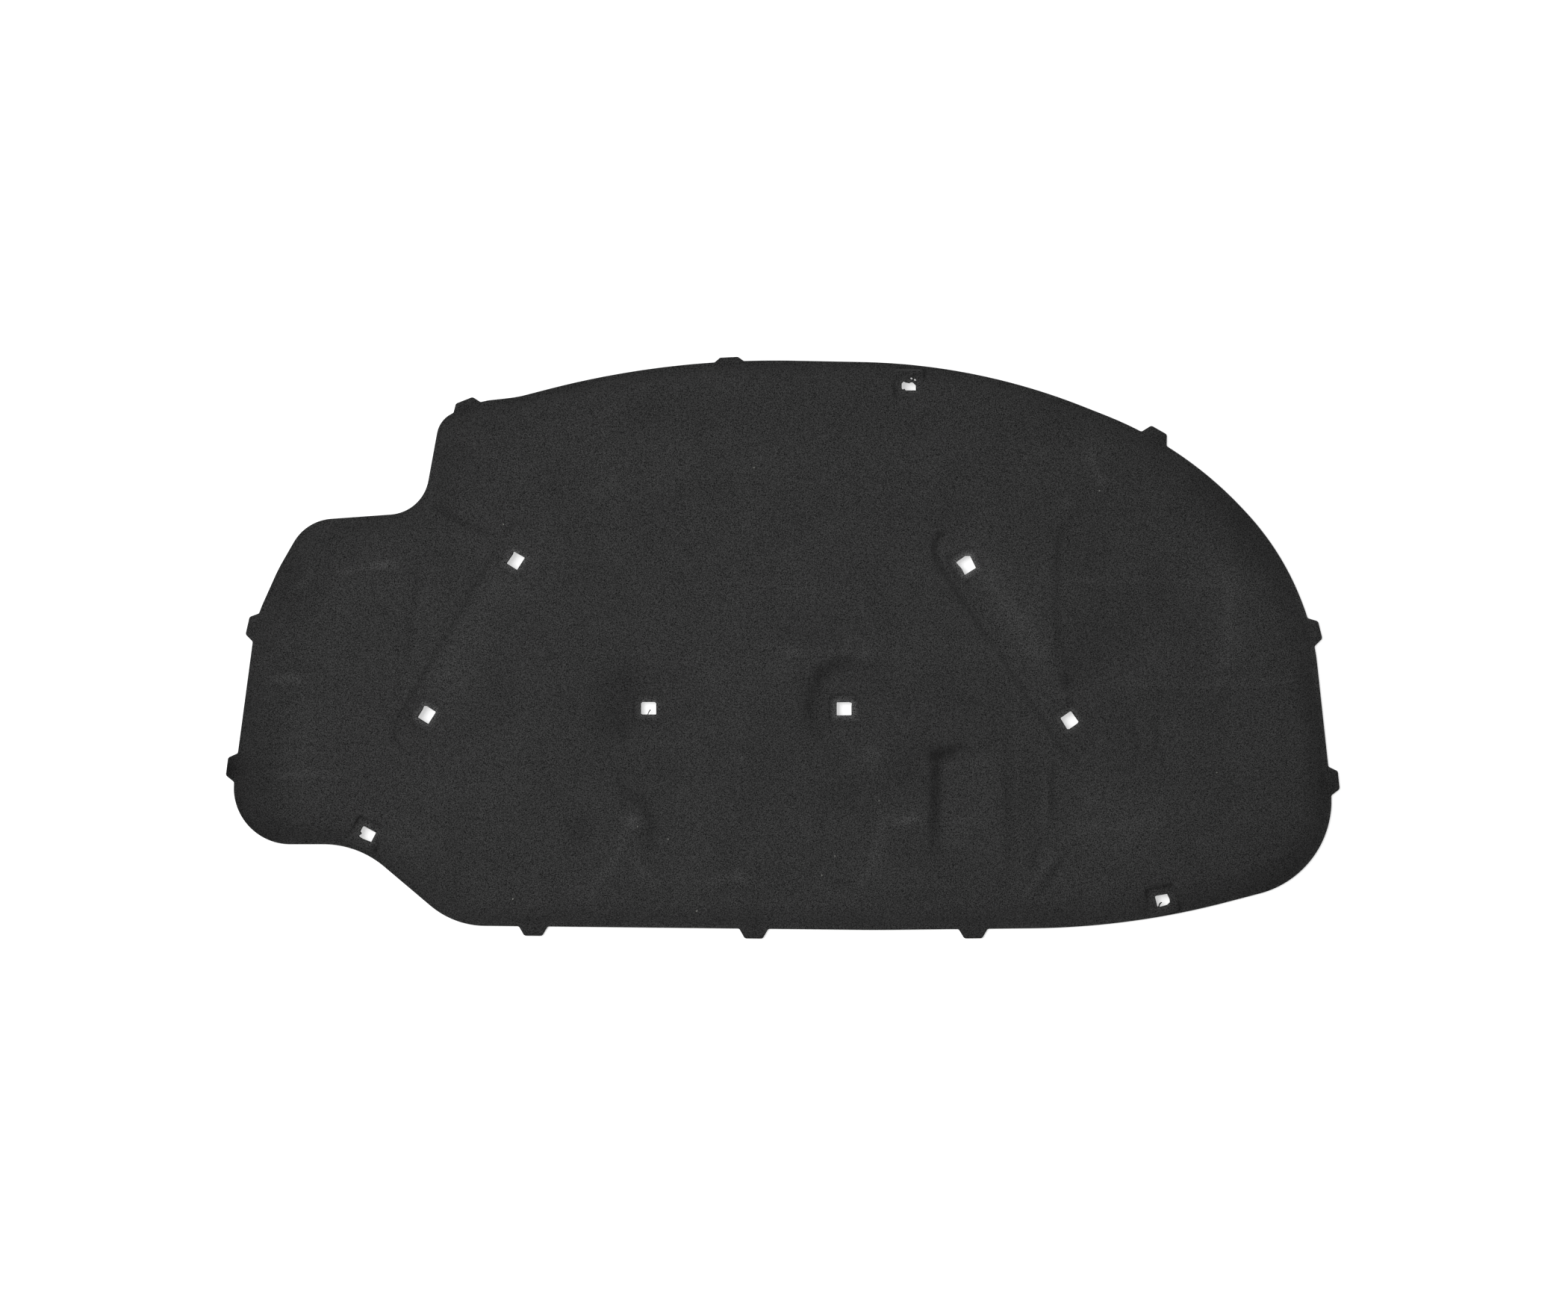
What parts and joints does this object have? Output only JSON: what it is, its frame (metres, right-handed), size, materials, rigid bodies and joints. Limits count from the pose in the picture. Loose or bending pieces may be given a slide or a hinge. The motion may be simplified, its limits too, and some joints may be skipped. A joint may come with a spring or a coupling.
{
  "type": "hood insulation pad",
  "caption": "Moulded felt mat that clips under a vehicle hood to damp noise and heat, with edge tabs, square clip holes and a relief pressed into its face.",
  "frame": {"origin": "centre of the pad's box in plan, at the height of its flat underside", "axes": "+X along the pad's length, +Y across it, +Z out of the moulded face"},
  "size_m": [1.3004, 0.6794, 0.018],
  "materials": {
    "felt": "matte needled felt"
  },
  "bodies": {
    "root": {"insulation_pad": "felt"}
  },
  "joints": []
}
